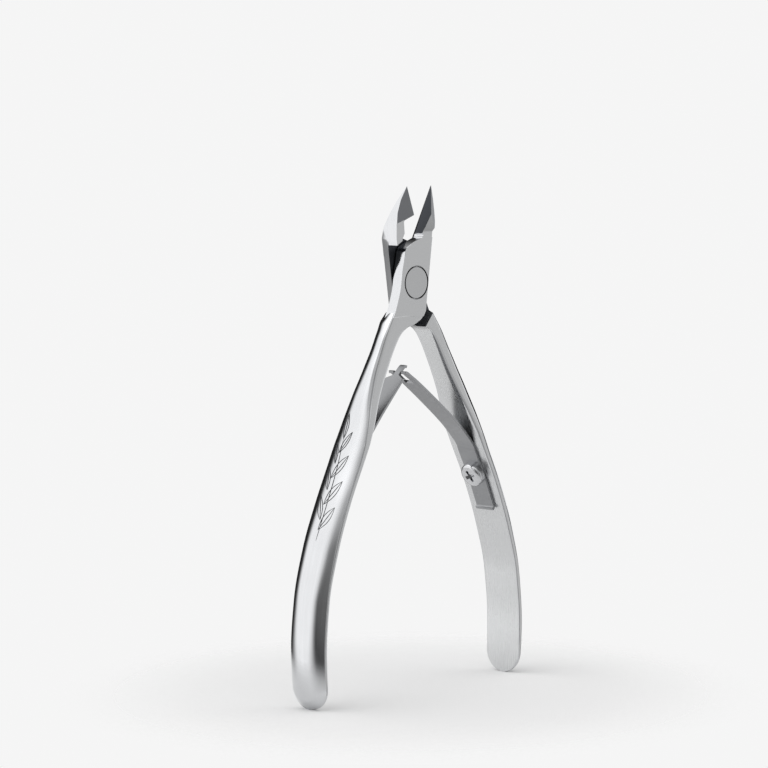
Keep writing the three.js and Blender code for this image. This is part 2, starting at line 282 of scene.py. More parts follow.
# %% Handle stations and the curve through them
# z: height; inner: distance of the inner face from the middle; front, back: distance of the
# outer corners at the front and the back; width: half width; dome: rise of the back
STATION_KEYS = ("z", "inner", "front", "back", "width", "dome")
FRONT_HANDLE = [dict(zip(STATION_KEYS, row)) for row in (
    (-6.8, -3.0, 7.25, 4.0, 2.87, 1.2),
    (-8.0, -2.4, 7.95, 5.2, 2.87, 1.3),
    (-9.0, -1.3, 8.55, 6.1, 2.87, 1.4),
    (-9.85, 0.6, 9.05, 6.5, 2.87, 1.4),
    (-10.5, 3.0, 9.45, 6.75, 2.87, 1.4),
    (-12.0, 5.1, 10.3, 7.5, 2.87, 1.4),
    (-15.0, 7.1, 11.7, 9.0, 2.87, 1.4),
    (-20.0, 9.7, 14.0, 11.9, 3.0, 1.45),
    (-26.0, 12.85, 16.25, 15.1, 3.6, 1.6),
    (-33.0, 16.35, 18.65, 17.65, 4.9, 1.9),
    (-40.0, 19.9, 21.3, 20.65, 5.55, 2.2),
    (-50.0, 24.8, 25.9, 25.4, 5.65, 2.4),
    (-60.0, 28.6, 29.6, 29.7, 5.5, 2.5),
    (-72.0, 31.8, 32.6, 33.0, 5.35, 2.5),
    (-84.0, 32.8, 33.6, 34.1, 5.35, 2.3),
    (-97.2, 32.4, 33.1, 33.4, 5.35, 1.8),
)]
# the right handle as it is before its half turn: its visible front is the back here
BACK_HANDLE = [dict(station) for station in FRONT_HANDLE]
VISIBLE_CORNER = (
    5.2, 6.0, 6.7, 7.3, 7.75, 8.7, 10.35, 13.1, 16.05, 18.7, 21.45, 26.0, 29.8, 32.8, 33.7, 32.9)
FLATTER_DOME = (0.2, 0.2, 0.25, 0.3, 0.3, 0.4, 0.6, 0.9, 1.3)
for station, corner in zip(BACK_HANDLE, VISIBLE_CORNER):
    station["back"] = corner
for station, dome in zip(BACK_HANDLE, FLATTER_DOME):
    station["dome"] = dome
HANDLE_TOP = FRONT_HANDLE[0]["z"]
HANDLE_END = FRONT_HANDLE[-1]["z"]
END_RADIUS = 5.35
CORNER = 0.3             # rounding of the long corners
# they are softer where the palm closes on the handle
CORNER_SWELL = dict(middle=-30.0, reach=22.0, extra=0.55, power=0.7)


def between(stations, z, what):
    """A monotone cubic through the stations' values of what, which never overshoots them."""
    rows = sorted((row["z"], row[what]) for row in stations)
    if z <= rows[0][0]:
        return rows[0][1]
    if z >= rows[-1][0]:
        return rows[-1][1]
    slopes = [(b[1] - a[1]) / (b[0] - a[0]) for a, b in zip(rows, rows[1:])]

    def tangent(i):
        if i == 0 or i == len(rows) - 1:
            return slopes[0] if i == 0 else slopes[-1]
        before, after = slopes[i - 1], slopes[i]
        if before * after <= 0:
            return 0.0
        return 2 * before * after / (before + after)

    i = next(k for k in range(len(slopes)) if z <= rows[k + 1][0])
    step = rows[i + 1][0] - rows[i][0]
    t = (z - rows[i][0]) / step
    rise = rows[i + 1][1] - rows[i][1]
    start, end = tangent(i) * step, tangent(i + 1) * step
    return (rows[i][1] + start * t + (3 * rise - 2 * start - end) * t ** 2
            + (start + end - 2 * rise) * t ** 3)


print("front handle inner face at -50:", round(between(FRONT_HANDLE, -50, "inner"), 2), "mm")

# %% [markdown]
# ## One handle section
# The ring of points goes round the section: along the flat inside, round a corner, out along
# the front land, over the dome and back along the rear land. Near the end the dome stops
# short of the rim, which leaves the sloped facet that runs round the tip of the handle.

# %% Handle section as a ring of points
INSIDE, LAND, DOME = 10, 4, 22      # points across the inside, up each land, over the dome
ROUND_STEPS = 3                     # points round each of the four corners
AROUND = INSIDE + 2 * LAND + DOME + 4 * ROUND_STEPS
DOME_POWER = 2.3                    # 2 is a parabola; more is flatter on top
SMALLEST_RIM = 0.35                 # half width at the very end, so that no ring shrinks away
# the facet round the end: steeper where it starts, and base high at the rim
END_FACET = dict(slope=0.85, starts=-88.0, full=-93.0, steeper=9.0, base=0.05)
RIDGE = dict(band=0.12, depth=0.03)  # how the ridge between the dome and the facet is broken


def end_width(z):
    """Half width of the outline in its round end."""
    drop = HANDLE_END + END_RADIUS - z
    if drop <= 0:
        return END_RADIUS
    return END_RADIUS * math.sqrt(max(1 - (drop / END_RADIUS) ** 2, 0.0))


def facet_height(y, z, rim):
    """How high the facet round the end stands, over the chord between the side lands."""
    full, starts = END_FACET["full"], END_FACET["starts"]
    share = min(max((starts - z) / (starts - full), 0.0), 1.0)
    steep = END_FACET["slope"] + END_FACET["steeper"] * (1 - share) ** 2
    drop = HANDLE_END + END_RADIUS - z
    inside = END_RADIUS - math.hypot(y, drop) if drop > 0 else rim - abs(y)
    return END_FACET["base"] + steep * max(inside, 0.0)


def corner_arc(corner, before, after, radius):
    """Points round a corner, from the side of before to the side of after."""
    corner, before, after = Vector(corner), Vector(before), Vector(after)
    first = (before - corner).normalized() * radius
    last = (after - corner).normalized() * radius
    points = []
    for k in range(ROUND_STEPS):
        t = k / (ROUND_STEPS - 1)
        points.append(corner + first * (1 - t) ** 2 + last * t ** 2)
    return points


def back_of_handle(stations, y, z):
    """How far out the domed back stands at one point."""
    front, back, dome, width = (
        between(stations, z, what) for what in ("front", "back", "dome", "width"))
    rim = max(min(width, end_width(z)), SMALLEST_RIM)
    rise = dome * (1 - (abs(y) / width) ** DOME_POWER)
    facet = facet_height(y, z, rim)
    blend = max(RIDGE["band"] - abs(rise - facet), 0.0) / RIDGE["band"]
    bulge = min(rise, facet) - blend ** 2 * RIDGE["depth"]
    return front + (back - front) * (y + rim) / (2 * rim) + max(bulge, 0.0)


def handle_ring(stations, z):
    """[outward, y] points round the handle at one height."""
    inner, front, back, width = (
        between(stations, z, what) for what in ("inner", "front", "back", "width"))
    rim = max(min(width, end_width(z)), SMALLEST_RIM)
    in_back, in_front = (inner, rim), (inner, -rim)
    out_front, out_back = (front, -rim), (back, rim)
    near = max(1 - abs(z - CORNER_SWELL["middle"]) / CORNER_SWELL["reach"], 0.0)
    soft = CORNER + CORNER_SWELL["extra"] * near ** CORNER_SWELL["power"]
    radius = min(soft, rim * 0.4, (front - inner) * 0.3, (back - inner) * 0.3)

    def land(outer, y):
        """The straight side between two corners, from the inside outward."""
        steps = [(k + 1) / (LAND + 1) for k in range(LAND)]
        return [(inner + radius + (outer - inner - 2 * radius) * t, y) for t in steps]

    ring = []
    for k in range(INSIDE):
        ring.append((inner, rim - radius * 1.5 - (2 * rim - radius * 3) * k / (INSIDE - 1)))
    ring += corner_arc(in_front, in_back, out_front, radius)
    ring += land(front, -rim)
    ring += corner_arc(out_front, in_front, (front + 0.8, -rim + 1), radius)
    for k in range(DOME):
        # closer together at both sides, where the dome falls away
        t = 0.5 - 0.5 * math.cos(math.pi * (k + 1.2) / (DOME + 1.4))
        y = -rim + 2 * rim * t
        ring.append((back_of_handle(stations, y, z), y))
    ring += corner_arc(out_back, (back + 0.8, rim - 1), in_back, radius)
    ring += land(back, rim)[::-1]
    ring += corner_arc(in_back, out_back, in_front, radius)
    return ring


print(AROUND, "points round each handle section")

# %% [markdown]
# ## Drawing the handle bar
# The stations lie closer together near the rounded end, where the outline turns fastest. At
# the top, the half of the bar that lies behind the lap plane is cut back to a slanted
# shoulder, which gives the other lever's plate room to swing.

# %% Handle bar
SHOULDER = [(-10.58, -1.36), (-0.74, -13.53), (9, -13.5), (9, 2)]  # its slant is the first side
LAP_FACE = 0.15          # how far each lap face stands off the middle plane
BEYOND = 8               # cutters end here, well outside the steel
CROTCH_STEPS, CROTCH_STEP = 21, 0.3
MIDDLE_STEPS, MIDDLE_STEP = 63, 1.15
END_STEPS = 34


def handle_heights():
    """Close together at the crotch and at the round end, where the outline turns fast."""
    crotch = [HANDLE_TOP - CROTCH_STEP * k for k in range(CROTCH_STEPS)]
    middle = [crotch[-1] - MIDDLE_STEP * (k + 1) for k in range(MIDDLE_STEPS)]
    low = middle[-1]
    end = [low + (HANDLE_END - low) * math.sin(math.pi / 2 * k / END_STEPS)
           for k in range(1, END_STEPS + 1)]
    return crotch + middle + end


def cylinder(name, radius, low, high, x=0.0, z=0.0, vertices=128, upright=False):
    """A cylinder from low to high, parallel to the pivot or upright on the Z axis."""
    deselect()
    middle = (low + high) / 2
    bpy.ops.mesh.primitive_cylinder_add(
        vertices=vertices, radius=radius, depth=high - low,
        location=(0, 0, middle) if upright else (x, middle, z),
        rotation=(0 if upright else math.pi / 2, 0, 0))
    piece = bpy.context.object
    piece.name = name
    bpy.ops.object.transform_apply(location=True, rotation=True, scale=True)
    return piece


def handle_bar(name, stations):
    """The left handle's bar, with its shoulder cut."""
    heights = handle_heights()
    rings = {z: handle_ring(stations, z) for z in heights}

    def place(z, corner):
        outward, y = rings[z][corner]
        return -outward, y, z

    bar = drawn_bar(name, heights, AROUND, place)
    return combine(bar, "DIFFERENCE", prism("shoulder", SHOULDER, -LAP_FACE, BEYOND))


front_bar = handle_bar("front_bar", FRONT_HANDLE)
back_bar = handle_bar("back_bar", BACK_HANDLE)
print("handle bars:", len(front_bar.data.polygons), len(back_bar.data.polygons), "faces")

# %% [markdown]
# ## The lap plate
# The flat cheek of the joint is ground flush with the pivot. Just under the pivot a shallow
# crease marks where the grinding wheel stopped: below it, the root of the handle lies a hair
# deeper. The side towards the other jaw is slanted, which the plane cut gives it.

# %% Cheek plates
JOINT_HALF = 2.95        # from the middle of the joint to a cheek
RIM = 0.2                # width of the broken edge round the cheek
RIM_LOW = -8.1           # the crease, below this, stays sharp
LEFT_EDGE = [
    (-7.9, -7.9), (-6.96, -6.07), (-6.1, -3.78), (-5.4, -1.5), (-5.05, 0.4),
    (-4.65, 3.2), (-4.1, 5.5), (-3.75, 7.4), (-3.2, 8.35),
]
TOP_EDGE = [(-1.8, 9.1), (-0.4, 9.7), (1.6, 10.4), (3.6, 10.45), (5.6, 10.4)]
RIGHT_EDGE = [(6.4, 9.75), (5.9, 5.1), (5.2, 0), (4.45, -4.3), (3.3, -6.6), (2.5, -7.9)]
CREASE = [(1.6, -8.3), (0, -8.0), (-2, -7.85), (-4, -7.8), (-6, -7.85)]
SLANT = [(4.1, -2.95, 0), (4.8, -2.95, 5.1), (5.13, -0.15, 0)]   # the right side's plane


def smoothed(points, steps=6):
    """A Catmull-Rom curve through points, ends included."""
    padded = [points[0], *points, points[-1]]
    curve = []
    for a, b, c, d in zip(padded, padded[1:], padded[2:], padded[3:]):
        for k in range(steps):
            t = k / steps
            curve.append(tuple(
                0.5 * (2 * q + (r - p) * t + (2 * p - 5 * q + 4 * r - s) * t ** 2
                       + (3 * q - p - 3 * r + s) * t ** 3)
                for p, q, r, s in zip(a, b, c, d)))
    return [*curve, points[-1]]


def lap_plate(name):
    """The cheek's plate, from the lap face out to the cheek."""
    outline = smoothed(LEFT_EDGE) + TOP_EDGE + RIGHT_EDGE + CREASE
    cheek = prism(name, outline, -JOINT_HALF, -LAP_FACE)
    grind_through(cheek, *SLANT, keep=(0, -1, 0))

    def front_rim(a, b):
        return max(a.y, b.y) < -JOINT_HALF + EDGE_SLACK and min(a.z, b.z) > RIM_LOW

    return bevel_rim(cheek, RIM, front_rim)


front_plate = lap_plate("front_plate")
back_plate = lap_plate("back_plate")
print("cheek is", 2 * JOINT_HALF, "mm across both halves")

# %% [markdown]
# ## The jaws
# Each jaw is ground from a block. A wide bevel on the outer front runs down to the cutting
# edge, the inner face is relieved so that only the edge meets the other jaw, and a fine
# notch at the heel stops the edge. The two jaws are mirror images, except at their roots:
# below its heel, the back lever's jaw is hollowed to clear the front cheek.

# %% Jaw blocks
# on the right jaw, as [x, y, z]: both ends of the cutting edge, and the bevel's outer corner
TIP = (4.06, -3.94, 22.76)
HEEL = (2.91, -5.11, 16.04)
CORNER_POINT = (6.41, -2.93, 14.08)
RELIEF = [(4.1, -3.7, 22.6), (2.2, -0.8, 12.2), (4.0, 1.2, 12.2)]   # on the inner face
JAW_DEPTH = (-6, 4)      # the block that a jaw is ground from, front to back
SHOULDER_WALL = 10.9     # radius of the wall that the other lever's plate swings along
NOTCH = dict(x=2.0, z=11.1, radius=0.42)
JAW_FRONT = [
    (6.41, 14.08), (6.2, 16.5), (5.4, 19.6), (4.06, 22.76), (2.91, 16.04), (2.2, 12.2),
    (2.0, 10.2), (1.2, 8), (4.4, 5.2),
]
# 1 is the right jaw, -1 the left one
JAW_ROOT = {1: [(4.9, 7.5), (5.25, 10.0), (5.45, 12.0)], -1: [(6.1, 8.2), (6.45, 10.5)]}
JAW_SIDE = [
    (-3.94, 22.76), (-5.11, 16.04), (-3.8, 13.2), (-2.94, 11.75), (-2.94, 5),
    (2.95, 5), (2.95, 10.4),
]
UNDERSIDE = (2.6, -1.53, 14.4)     # below the heel of the back lever's jaw
STEP_FACE = -2.8                   # its front face there
POCKET = [(-4.45, 8), (-4.45, 10.4), (-3.74, 11.66), (-3.95, 14.36), (-2.95, 15.8),
          (0, 15.8), (0, 8)]
POCKET_DEPTH = 0.2


def jaw(name, side):
    """side is 1 for the front lever's jaw on the right, and -1 for the other."""
    def at(point):
        return side * point[0], point[1], point[2]

    outline = JAW_FRONT + JAW_ROOT[side]
    block = prism(name, [(side * x, z) for x, z in outline], *JAW_DEPTH)
    combine(block, "INTERSECT", prism("jaw_side", JAW_SIDE, -10, 10, across="X"))
    grind_through(block, at(TIP), at(HEEL), at(CORNER_POINT), keep=at((4.2, 0, 14)))
    grind_through(block, *(at(point) for point in RELIEF), keep=at((4.6, -1.2, 13)))
    grind_through(block, *(at((x, -y, z)) for x, y, z in SLANT), keep=at((2, 0, 12)))
    if side < 0:
        # under the heel it steps back to a plain front face
        lower = block.copy()
        lower.data = block.data.copy()
        bpy.context.scene.collection.objects.link(lower)
        grind(lower, (0, STEP_FACE, 0), (0, -1, 0))
        grind_through(block, at(HEEL), at(CORNER_POINT), at(UNDERSIDE), keep=at((4, -2, 20)))
        combine(block, "UNION", lower)
    low, high = (-LAP_FACE, BEYOND) if side > 0 else (-BEYOND, LAP_FACE)
    wall = cylinder("shoulder_wall", SHOULDER_WALL, low, high)
    notch = cylinder(
        "notch", NOTCH["radius"], *JAW_DEPTH, side * NOTCH["x"], NOTCH["z"], vertices=24)
    combine(block, "DIFFERENCE", wall, notch)
    if side < 0:
        combine(block, "DIFFERENCE", prism("pocket", POCKET, -BEYOND, POCKET_DEPTH))
    return block


front_jaw = jaw("front_jaw", 1)
back_jaw = jaw("back_jaw", -1)
print("cutting edge:", round((Vector(TIP) - Vector(HEEL)).length, 1), "mm long")

# %% [markdown]
# ## Joining each lever
# The three solids of a lever become one forging, and the pivot's stepped bore is cut through
# it. The back lever is drawn the same way and turned half a turn, as in the frame.

# %% Levers
PIN_HEAD_RADIUS = 3.65
PIN_HEAD_DEPTH = 1.1
PIN_SHANK_RADIUS = 2.1
GROOVE = 0.36            # the dark ring that shows round the pivot head
BORE_REACH = 5           # the bores' cutters stand out of both cheeks


def pivot_bore():
    """Cutters for the shank's bore and for the two wider ones that take the heads."""
    wide, floor = PIN_HEAD_RADIUS + GROOVE, JOINT_HALF - PIN_HEAD_DEPTH - GROOVE
    return (cylinder("head_bore", wide, -BORE_REACH, -floor),
            cylinder("shank_bore", PIN_SHANK_RADIUS + GROOVE, -BORE_REACH, BORE_REACH,
                     vertices=64),
            cylinder("other_bore", wide, floor, BORE_REACH))


front_lever = combine(front_bar, "UNION", front_plate, front_jaw)
combine(front_lever, "DIFFERENCE", *pivot_bore())
back_lever = half_turn(combine(back_bar, "UNION", back_plate))
combine(back_lever, "UNION", back_jaw)
combine(back_lever, "DIFFERENCE", *pivot_bore())
for lever, body in ((front_lever, "front_lever"), (back_lever, "back_lever")):
    finish_surface(lever)
    to_frame(lever)
    lever.name = body + "_forging"
    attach(lever, body)
    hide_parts(body)
print("levers:", len(front_lever.data.polygons), len(back_lever.data.polygons), "faces")

# %% [markdown]
# ## The pivot
# A shouldered rivet is pressed through both plates and its two heads are ground flush with
# the cheeks, so all that shows is a disc with a fine groove round it. It is a cylinder with
# a collar cut from its middle, which leaves the shank, and with a small bevel round each head.

# %% Pivot
HEAD_BEVEL = 0.06


def pivot_rivet():
    """Made about the pivot axis, head to head."""
    rivet = cylinder("pivot_rivet", PIN_HEAD_RADIUS, -JOINT_HALF, JOINT_HALF)
    neck = JOINT_HALF - PIN_HEAD_DEPTH
    collar = cylinder("collar", PIN_HEAD_RADIUS + 1, -neck, neck)
    core = cylinder("core", PIN_SHANK_RADIUS, -BORE_REACH, BORE_REACH)
    combine(collar, "DIFFERENCE", core)
    combine(rivet, "DIFFERENCE", collar)
    return bevel_rim(
        rivet, HEAD_BEVEL, lambda a, b: min(abs(a.y), abs(b.y)) > JOINT_HALF - EDGE_SLACK)


rivet = to_frame(finish_surface(pivot_rivet()))
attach(rivet, "front_lever")
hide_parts("pivot_pin")
print("pivot head is", 2 * PIN_HEAD_RADIUS, "mm across")

# %% [markdown]
# ## The leaf springs
# Each spring is a strip of rolled spring steel, screwed flat against the inner face of its
# handle and bent to lean across the gap. The left one narrows to a tongue that curls through
# the fork at the end of the right one, so that each keeps the other in place. The strip is a
# thin ribbon outline pulled out to its width; its long edges are broken by a bevel, and the
# fork and the tongue are cut out of it.

# %% Leaf ribbons
LEAF_THICKNESS = 0.62
LEAF_HALF_WIDTH = 2.8
SEAT = 0.04              # hair gap between a leaf and its handle
STRIP_BEVEL = 0.1
FOOT_END, FOOT_TOP = -55.5, -39.5
FOOT_STEPS = 8
CURL = (0.45, 0.75)      # how far the foot's end curls off the handle, and down
LEFT_BLADE = [(-15.9, -35.3), (-12.4, -31.1), (-8.4, -26.7), (-4.4, -22.4), (-2.8, -20.6),
              (-1.8, -19.8), (-1.2, -19.9)]
RIGHT_BLADE = [(15.5, -35.6), (12.0, -32.5), (6.4, -28.0), (0.9, -23.8), (-1.9, -21.9),
               (-3.1, -21.1), (-3.7, -21.1)]
# the fork's slot is open from start leftward; half is half its width
FORK = dict(start=0.6, half=1.25, end=-15, low=-30, high=-10)
# the neck slants from neck below [x, z], where the tongue starts, to chamfer above it
TONGUE = dict(x=-4.3, z=-22.6, half=0.8, neck=0.6, chamfer=1.0)


def foot_line(side):
    """Centre line of a foot, from the curled end up to where it leaves the handle."""
    stations = FRONT_HANDLE
    off = SEAT + LEAF_THICKNESS / 2
    line = []
    for k in range(FOOT_STEPS + 1):
        z = FOOT_END + (FOOT_TOP - FOOT_END) * k / FOOT_STEPS
        slope = (between(stations, z + 0.1, "inner") - between(stations, z - 0.1, "inner")) / 0.2
        length = math.hypot(1, slope)
        line.append((side * (between(stations, z, "inner") - off / length),
                     z + off * slope / length))
    curl = [(line[0][0] - side * CURL[0], line[0][1] - CURL[1])]
    return curl + line


def ribbon_outline(line, thickness):
    """Both faces of a strip about its centre line, closed round a rounded end."""
    one, other = [], []
    for k, (x, z) in enumerate(line):
        ax, az = line[max(k - 1, 0)]
        bx, bz = line[min(k + 1, len(line) - 1)]
        length = math.hypot(bx - ax, bz - az)
        across = ((az - bz) / length * thickness / 2, (bx - ax) / length * thickness / 2)
        one.append((x + across[0], z + across[1]))
        other.append((x - across[0], z - across[1]))
    return one + other[::-1]


def leaf(name, side):
    """side is 1 for the right leaf, with the fork, and -1 for the left one, with the tongue."""
    blade = RIGHT_BLADE if side > 0 else LEFT_BLADE
    line = smoothed(foot_line(side) + blade, steps=4)
    strip = prism(name, ribbon_outline(line, LEAF_THICKNESS), -LEAF_HALF_WIDTH,
                  LEAF_HALF_WIDTH)

    def long_edge(a, b):
        return (min(abs(a.y), abs(b.y)) > LEAF_HALF_WIDTH - EDGE_SLACK
                and abs(a.y - b.y) < EDGE_SLACK)

    bevel_rim(strip, STRIP_BEVEL, long_edge)
    if side > 0:
        start, half, end, low, high = FORK.values()
        slot = [(start, low), (start, high), (end, high), (end, low)]
        return combine(strip, "DIFFERENCE", prism("slot", slot, -half, half))
    x, z, half, neck, chamfer = TONGUE.values()
    wide = LEAF_HALF_WIDTH + 2
    for sign in (1, -1):
        # seen along the strip: straight beside the tongue, slanted at its neck
        beside = [(half, z + chamfer), (half, z + 20), (wide, z + 20), (wide, z - neck)]
        cutter = prism("beside", [(sign * y, height) for y, height in beside], x - 1, x + 15,
                       across="X")
        combine(strip, "DIFFERENCE", cutter)
    return strip


left_leaf = leaf("left_leaf_spring", -1)
right_leaf = leaf("right_leaf_spring", 1)
print("leaves:", len(left_leaf.data.polygons), len(right_leaf.data.polygons), "faces")

# %% [markdown]
# ## The leaves in place
# When the handles close, each leaf's foot stays with its handle and the rest leans over
# about the place where it leaves the handle. Here each leaf is one fixed piece: it is finished,
# put in the frame, and the imported foot and blade that it stands for are hidden.

# %% Leaves finished and put in the frame
for piece, side, lever_body in ((left_leaf, "left", "front_lever"),
                                (right_leaf, "right", "back_lever")):
    finish_surface(piece)
    to_frame(piece)
    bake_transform(piece)
    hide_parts(side + "_spring_foot", side + "_spring_blade")

# %% [markdown]
# ## The spring screws
# A pan-head screw clamps each foot. Its head is turned, slightly domed and polished, with a
# cross recess pressed into it. It starts as a cylinder: the rim is bevelled in many steps to
# give the crown, a thin shank is joined under it, and two crossed cutters make the recess.

# %% Screws
HEAD_RADIUS = 3.05
HEAD_HEIGHT = 1.85
CROWN = 0.85             # how far the round of the head comes in from its rim
SHANK_RADIUS = 0.95
SHANK_LENGTH = 1.9
SHANK_OVERLAP = 0.4      # how far the shank reaches up into the head
RECESS = dict(length=3.5, width=0.85, depth=1.0)
RECESS_FLARE = 0.2       # its cutter stands this far out of the head
SCREW_DEPTH = -47        # height of both screws, about the pivot
SCREW_GAP = 0.02         # hair gap between a head and its leaf
SCREW_TURN = 20          # degrees that the cross stands off the handle's length


def screw(name):
    """Made along +Z, with its seat at the origin."""
    head = cylinder(name, HEAD_RADIUS, 0, HEAD_HEIGHT, vertices=64, upright=True)
    bevel_rim(head, CROWN, lambda a, b: min(a.z, b.z) > HEAD_HEIGHT - EDGE_SLACK, segments=8)
    combine(head, "UNION", cylinder(
        "shank", SHANK_RADIUS, -SHANK_LENGTH, SHANK_OVERLAP, vertices=32, upright=True))
    length, width, depth = RECESS.values()
    top, bottom = HEAD_HEIGHT + RECESS_FLARE, HEAD_HEIGHT - depth
    slanted = [(-length / 2, top), (length / 2, top), (length / 5, bottom), (-length / 5, bottom)]
    for turn in (0, math.pi / 2):
        arm = prism("arm", slanted, -width / 2, width / 2)
        arm.data.transform(Matrix.Rotation(turn, 4, "Z"))
        combine(head, "DIFFERENCE", arm)
    return finish_surface(head, 40)


def seat_screw(piece, side):
    """Stands the screw on its leaf, square to the handle's inner face."""
    slope = (between(FRONT_HANDLE, SCREW_DEPTH + 0.5, "inner")
             - between(FRONT_HANDLE, SCREW_DEPTH - 0.5, "inner"))
    outward = Vector((-side, 0, slope)).normalized()
    along = Vector((0, 1, 0))
    third = outward.cross(along)
    turn = Matrix((along, third, outward)).transposed().to_4x4()
    twist = Matrix.Rotation(math.radians(SCREW_TURN), 4, "Z")
    seat = Vector((side * between(FRONT_HANDLE, SCREW_DEPTH, "inner"), 0, SCREW_DEPTH))
    seat += outward * (SEAT + LEAF_THICKNESS + SCREW_GAP)
    piece.data.transform(Matrix.Translation(seat) @ turn @ twist)
    return to_frame(piece)


screws = {}
for side, name, body in ((-1, "left", "front_lever"), (1, "right", "back_lever")):
    piece = seat_screw(screw(name + "_screw"), side)
    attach(piece, body)
    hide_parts(name + "_spring_screw")
    screws[name] = piece
print("screw head is", 2 * HEAD_RADIUS, "mm across")

# %% [markdown]
# ## Line decoration on the left handle
# A laser darkens fine lines in the polished back of the left handle. The motif here is a plain
# twig with leaves. Each line is a thin tube, tapered at its ends and half sunk in the steel, so
# that it follows the round of the back exactly; the lines are then joined to one piece.

# %% Line decoration
LINE_RADIUS = 0.1
LINE_CORNERS = 6
THINNEST = 0.35          # share of its radius that a line keeps at its ends
LEAF_SIDES = (1, 0.1, -1)  # share of the bulge: one side, the midrib, the other side
# base and tip of each leaf and how far its sides bulge, all [y, z]
TWIG_LEAVES = [
    ((0.7, -35.4), (1.1, -29.6), 0.75),
    ((0.9, -38.6), (-1.7, -33.6), 0.7),
    ((1.0, -41.0), (2.7, -36.2), 0.65),
    ((0.9, -44.2), (-2.5, -38.9), 0.95),
    ((0.7, -46.8), (2.9, -41.8), 0.8),
    ((0.4, -50.0), (-3.0, -44.6), 1.0),
    ((0.0, -53.4), (2.5, -48.0), 0.85),
    ((-0.2, -55.6), (-3.1, -50.4), 0.95),
]
TWIG = ((-0.5, -58.0), (0.7, -35.4), 0.7)   # its foot, its top and its bow


def bowed(base, tip, bulge, count=16):
    """Marks from base to tip along a curve that bulges to one side."""
    base, tip = Vector(base), Vector(tip)
    aside = Vector((base.y - tip.y, tip.x - base.x)).normalized()
    steps = [k / (count - 1) for k in range(count)]
    return [base.lerp(tip, t) + aside * bulge * math.sin(math.pi * t) for t in steps]


def drawn_line(name, marks):
    """A thin tube on the handle's back, along marks given as [y, z]."""
    points = [Vector((-back_of_handle(FRONT_HANDLE, y, z), y, z)) for y, z in marks]
    last = len(points) - 1

    def place(k, corner):
        ahead = points[min(k + 1, last)] - points[max(k - 1, 0)]
        aside = ahead.cross(Vector((1, 0, 0))).normalized()
        out = aside.cross(ahead).normalized()
        turn = math.tau * corner / LINE_CORNERS
        taper = THINNEST + (1 - THINNEST) * math.sin(math.pi * k / last) ** 0.5
        return points[k] + (aside * math.cos(turn) + out * math.sin(turn)) * LINE_RADIUS * taper

    return drawn_bar(name, range(len(points)), LINE_CORNERS, place)


lines = [drawn_line("twig", bowed(*TWIG, count=40))]
for base, tip, bulge in TWIG_LEAVES:
    for share in LEAF_SIDES:
        lines.append(drawn_line("leaf_line", bowed(base, tip, bulge * share)))
select_only(lines[0])
for line in lines[1:]:
    line.select_set(True)
bpy.ops.object.join()
decoration = bpy.context.object
to_frame(decoration)
decoration.name = "laser_line_twig"
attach(decoration, "front_lever")
print("decoration:", len(lines), "lines,", len(decoration.data.polygons), "faces")

# %% [markdown]
# ## Steel, before its finishes
# All of it is stainless or spring steel, so all of it is metallic with a nearly neutral
# colour. What tells the surfaces apart is how each was ground or polished: the roughness, the
# grain that the wheel left, and a slight change of tone along the grain. A few surfaces also
# carry painted shade as a darker tone. One function adds a node, one turns a hex colour to
# linear light, and one builds a steel from its numbers.

# %% Node helpers
CLOUD_MM = 6             # size of the slow changes of tone
GRAIN_SHARE = 0.65       # how much of the tone the grain decides; the clouds do the rest
NOISE_SPAN = (0.3, 0.7)  # most of the mixed noise lies between these


def linear(hex_colour):
    """A hex colour as linear light, with alpha."""
    channels = [int(hex_colour[k:k + 2], 16) / 255 for k in (0, 2, 4)]
    return tuple(c / 12.92 if c <= 0.04045 else ((c + 0.055) / 1.055) ** 2.4
                 for c in channels) + (1.0,)


def add_node(tree, kind, settings=None, links=None):
    """Adds a shader node; a setting is a socket's value or, failing that, a property."""
    node = tree.nodes.new("ShaderNode" + kind)
    for key, value in (settings or {}).items():
        if isinstance(key, int) or key in node.inputs:
            node.inputs[key].default_value = value
        else:
            setattr(node, key, value)
    for key, source in (links or {}).items():
        tree.links.new(source, node.inputs[key])
    return node


def new_material(name):
    material = bpy.data.materials.new(name)
    material.use_nodes = True
    material.node_tree.nodes.clear()
    return material


